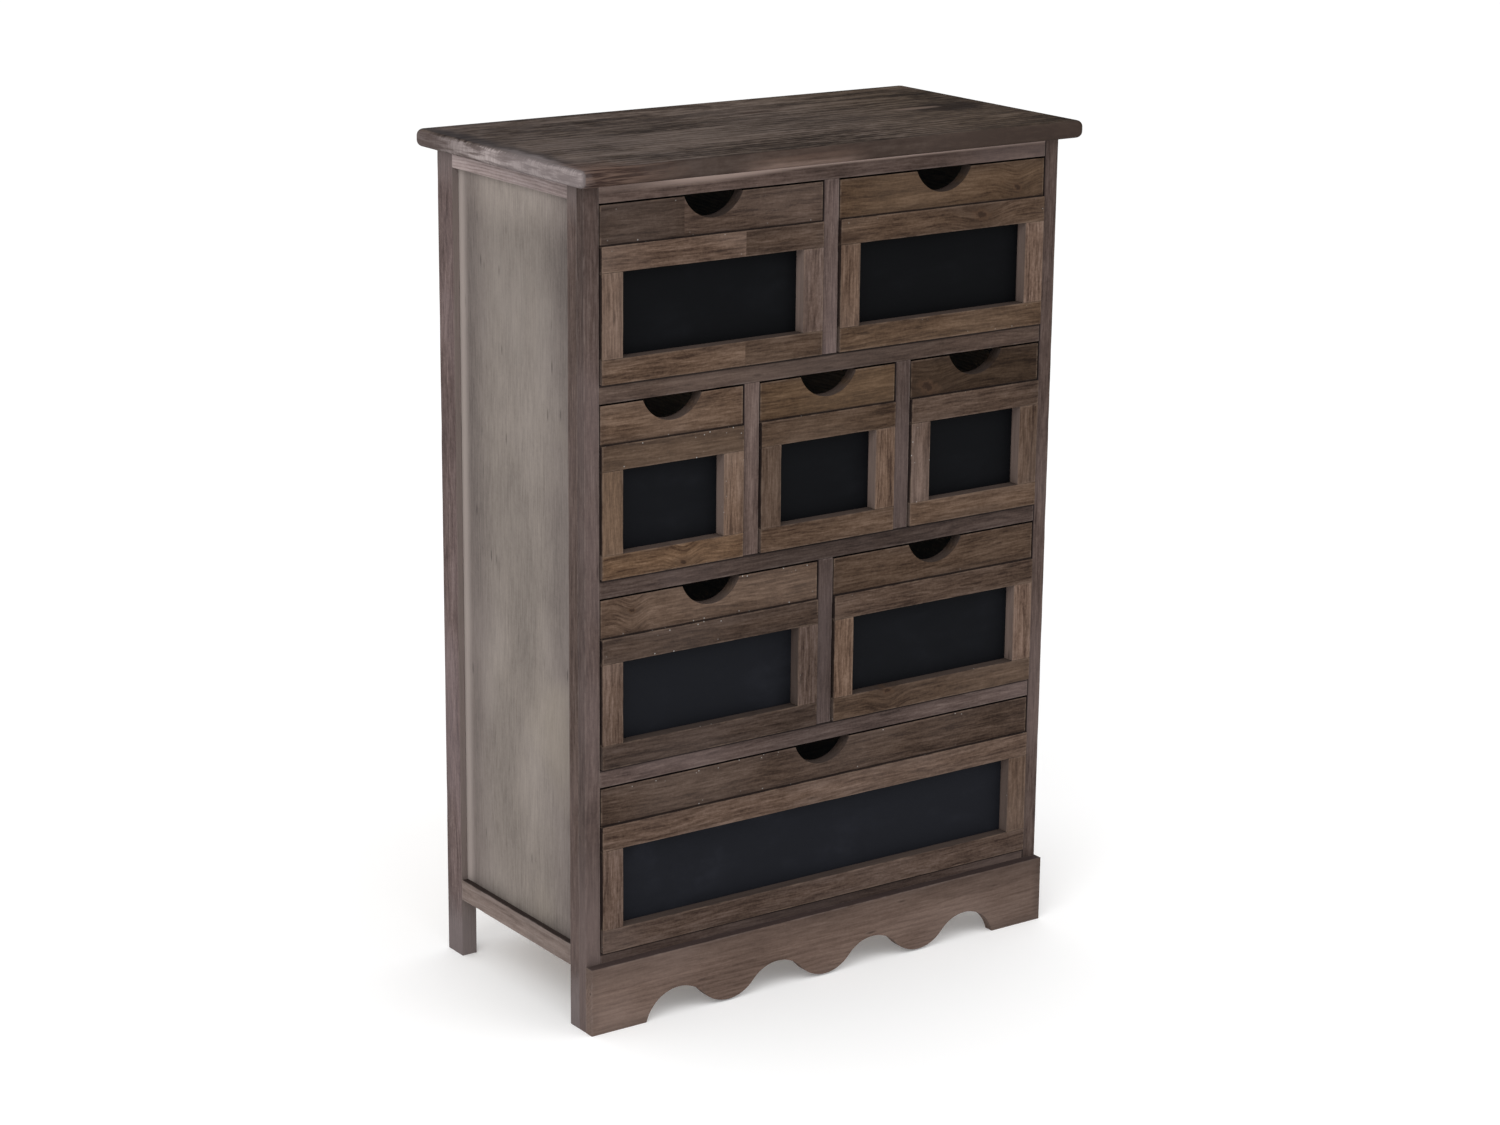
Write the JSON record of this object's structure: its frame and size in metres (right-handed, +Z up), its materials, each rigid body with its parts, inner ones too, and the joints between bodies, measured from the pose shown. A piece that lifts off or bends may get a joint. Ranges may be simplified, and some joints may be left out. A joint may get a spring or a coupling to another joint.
{
  "type": "apothecary cabinet",
  "caption": "Free-standing apothecary cabinet: rows of drawers with finger notches and framed chalkboards, recessed side panels, rounded top board and scalloped apron.",
  "frame": {"origin": "on the floor, midway between the outermost left, right, front and rear points", "axes": "+Z up, -Y out of the drawer fronts, +X to the right seen from the front"},
  "size_m": [0.548, 0.279, 0.783],
  "materials": {
    "frame_wood": "weathered grey-brown stain, matt",
    "top_wood": "darker weathered stain with scratches, matt",
    "side_panel_wood": "pale weathered grey stain, matt",
    "drawer_front_wood": "reclaimed brown boards, worn edges, matt",
    "inner_wood": "unfinished softwood",
    "chalkboard_paint": "matt blackboard paint on hardboard",
    "plated_steel": "zinc plated"
  },
  "bodies": {
    "carcass": {"top_board": "top_wood", "left_front_post": "frame_wood", "right_front_post": "frame_wood", "left_rear_post": "frame_wood", "right_rear_post": "frame_wood", "side_rails": "frame_wood", "left_side_panel": "side_panel_wood", "right_side_panel": "side_panel_wood", "face_frame_stiles": "frame_wood", "face_frame_rails": "frame_wood", "face_frame_dividers": "frame_wood", "scalloped_apron": "frame_wood", "back_panel": "inner_wood", "shelf_boards": "inner_wood", "bottom_board": "inner_wood", "partitions": "inner_wood", "side_guides": "inner_wood", "bearer_strips": "inner_wood", "top_fixing_screws": "plated_steel", "back_panel_nails": "plated_steel"},
    "drawer_r1c1": {"drawer_r1c1_notch_rail": "drawer_front_wood", "drawer_r1c1_panel_frame": "drawer_front_wood", "drawer_r1c1_chalkboard": "chalkboard_paint", "drawer_r1c1_box_walls": "inner_wood", "drawer_r1c1_box_bottom": "inner_wood"},
    "drawer_r1c2": {"drawer_r1c2_notch_rail": "drawer_front_wood", "drawer_r1c2_panel_frame": "drawer_front_wood", "drawer_r1c2_chalkboard": "chalkboard_paint", "drawer_r1c2_box_walls": "inner_wood", "drawer_r1c2_box_bottom": "inner_wood"},
    "drawer_r2c1": {"drawer_r2c1_notch_rail": "drawer_front_wood", "drawer_r2c1_panel_frame": "drawer_front_wood", "drawer_r2c1_chalkboard": "chalkboard_paint", "drawer_r2c1_box_walls": "inner_wood", "drawer_r2c1_box_bottom": "inner_wood"},
    "drawer_r2c2": {"drawer_r2c2_notch_rail": "drawer_front_wood", "drawer_r2c2_panel_frame": "drawer_front_wood", "drawer_r2c2_chalkboard": "chalkboard_paint", "drawer_r2c2_box_walls": "inner_wood", "drawer_r2c2_box_bottom": "inner_wood"},
    "drawer_r2c3": {"drawer_r2c3_notch_rail": "drawer_front_wood", "drawer_r2c3_panel_frame": "drawer_front_wood", "drawer_r2c3_chalkboard": "chalkboard_paint", "drawer_r2c3_box_walls": "inner_wood", "drawer_r2c3_box_bottom": "inner_wood"},
    "drawer_r3c1": {"drawer_r3c1_notch_rail": "drawer_front_wood", "drawer_r3c1_panel_frame": "drawer_front_wood", "drawer_r3c1_chalkboard": "chalkboard_paint", "drawer_r3c1_box_walls": "inner_wood", "drawer_r3c1_box_bottom": "inner_wood"},
    "drawer_r3c2": {"drawer_r3c2_notch_rail": "drawer_front_wood", "drawer_r3c2_panel_frame": "drawer_front_wood", "drawer_r3c2_chalkboard": "chalkboard_paint", "drawer_r3c2_box_walls": "inner_wood", "drawer_r3c2_box_bottom": "inner_wood"},
    "drawer_r4c1": {"drawer_r4c1_notch_rail": "drawer_front_wood", "drawer_r4c1_panel_frame": "drawer_front_wood", "drawer_r4c1_chalkboard": "chalkboard_paint", "drawer_r4c1_box_walls": "inner_wood", "drawer_r4c1_box_bottom": "inner_wood"}
  },
  "joints": [
    {"name": "drawer_r1c1_slide", "type": "slide", "parent": "carcass", "child": "drawer_r1c1", "axis": [0, -1, 0], "range_m": [0, 0.17]},
    {"name": "drawer_r1c2_slide", "type": "slide", "parent": "carcass", "child": "drawer_r1c2", "axis": [0, -1, 0], "range_m": [0, 0.17]},
    {"name": "drawer_r2c1_slide", "type": "slide", "parent": "carcass", "child": "drawer_r2c1", "axis": [0, -1, 0], "range_m": [0, 0.17]},
    {"name": "drawer_r2c2_slide", "type": "slide", "parent": "carcass", "child": "drawer_r2c2", "axis": [0, -1, 0], "range_m": [0, 0.17]},
    {"name": "drawer_r2c3_slide", "type": "slide", "parent": "carcass", "child": "drawer_r2c3", "axis": [0, -1, 0], "range_m": [0, 0.17]},
    {"name": "drawer_r3c1_slide", "type": "slide", "parent": "carcass", "child": "drawer_r3c1", "axis": [0, -1, 0], "range_m": [0, 0.17]},
    {"name": "drawer_r3c2_slide", "type": "slide", "parent": "carcass", "child": "drawer_r3c2", "axis": [0, -1, 0], "range_m": [0, 0.17]},
    {"name": "drawer_r4c1_slide", "type": "slide", "parent": "carcass", "child": "drawer_r4c1", "axis": [0, -1, 0], "range_m": [0, 0.17]}
  ]
}
